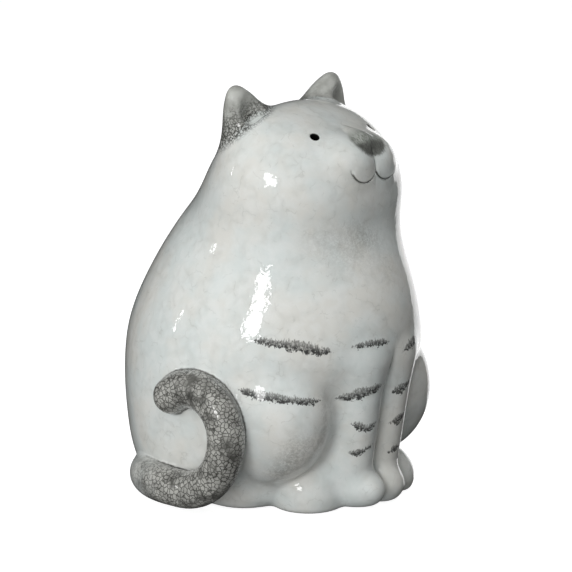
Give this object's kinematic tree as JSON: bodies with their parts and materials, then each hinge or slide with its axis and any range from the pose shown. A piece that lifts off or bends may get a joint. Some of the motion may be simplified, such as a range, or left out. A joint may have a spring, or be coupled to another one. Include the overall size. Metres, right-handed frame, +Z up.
{
  "type": "cat figurine",
  "caption": "Glazed ceramic figurine of a plump seated cat with its face raised, pierced eyes and a tail curled on its flank.",
  "frame": {"origin": "on the flat base, in the figurine's plane of symmetry, under the middle of the body", "axes": "+Z up, the cat faces -Y, and its right flank with the tail is on -X"},
  "size_m": [0.1605, 0.161, 0.2142],
  "materials": {
    "white_glaze": "gloss glaze, faintly crazed, with dark brushed stripes",
    "mottled_glaze": "gloss glaze, dark mottling at the root",
    "grey_glaze": "gloss glaze over a grey brushed ground broken into small pale cells",
    "nose_glaze": "gloss glaze over a grey brushed ground"
  },
  "bodies": {
    "root": {"body_shell": "white_glaze", "right_ear": "mottled_glaze", "left_ear": "mottled_glaze", "tail": "grey_glaze", "nose": "nose_glaze", "right_foreleg": "white_glaze", "left_foreleg": "white_glaze", "right_hind_foot": "white_glaze", "left_hind_foot": "white_glaze"}
  },
  "joints": []
}
